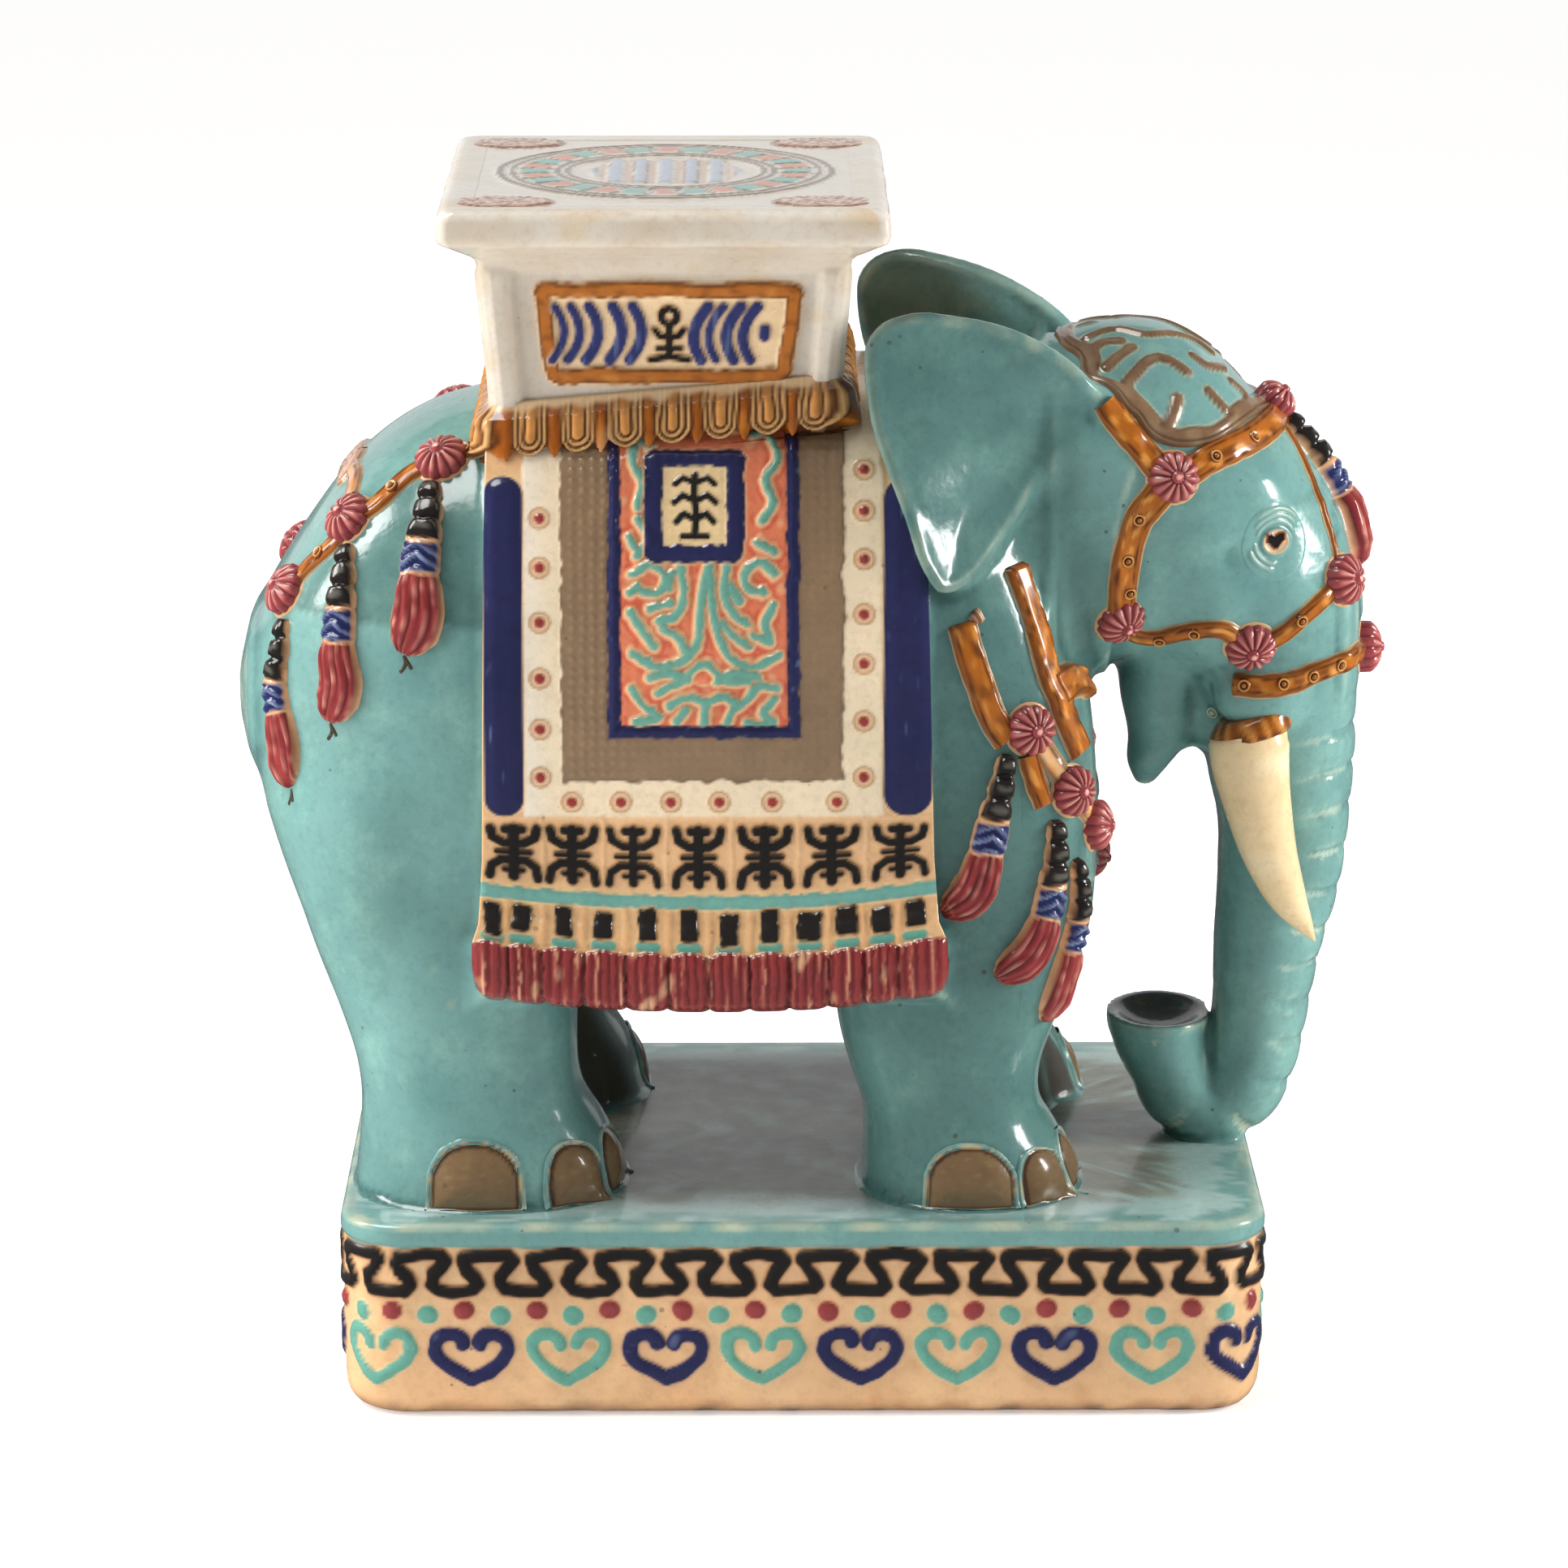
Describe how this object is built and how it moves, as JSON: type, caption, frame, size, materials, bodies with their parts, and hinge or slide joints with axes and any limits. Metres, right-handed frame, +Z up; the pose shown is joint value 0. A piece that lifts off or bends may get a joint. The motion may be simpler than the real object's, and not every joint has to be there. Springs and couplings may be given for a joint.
{
  "type": "elephant garden stool",
  "caption": "Glazed terracotta garden stool: a standing elephant on a plinth, in saddle cloths and harness, carrying a square seat on its back.",
  "frame": {"origin": "middle of the underside of the plinth", "axes": "+X towards the elephant's head along the plinth's long side, +Y to the elephant's left, +Z up"},
  "size_m": [0.5299, 0.282, 0.553],
  "materials": {
    "turquoise_glaze": "gloss",
    "white_glaze": "gloss",
    "buff_glaze": "gloss",
    "ochre_glaze": "gloss",
    "maroon_glaze": "gloss",
    "ivory_glaze": "gloss"
  },
  "bodies": {
    "root": {"elephant_stool": "turquoise_glaze"}
  },
  "joints": []
}
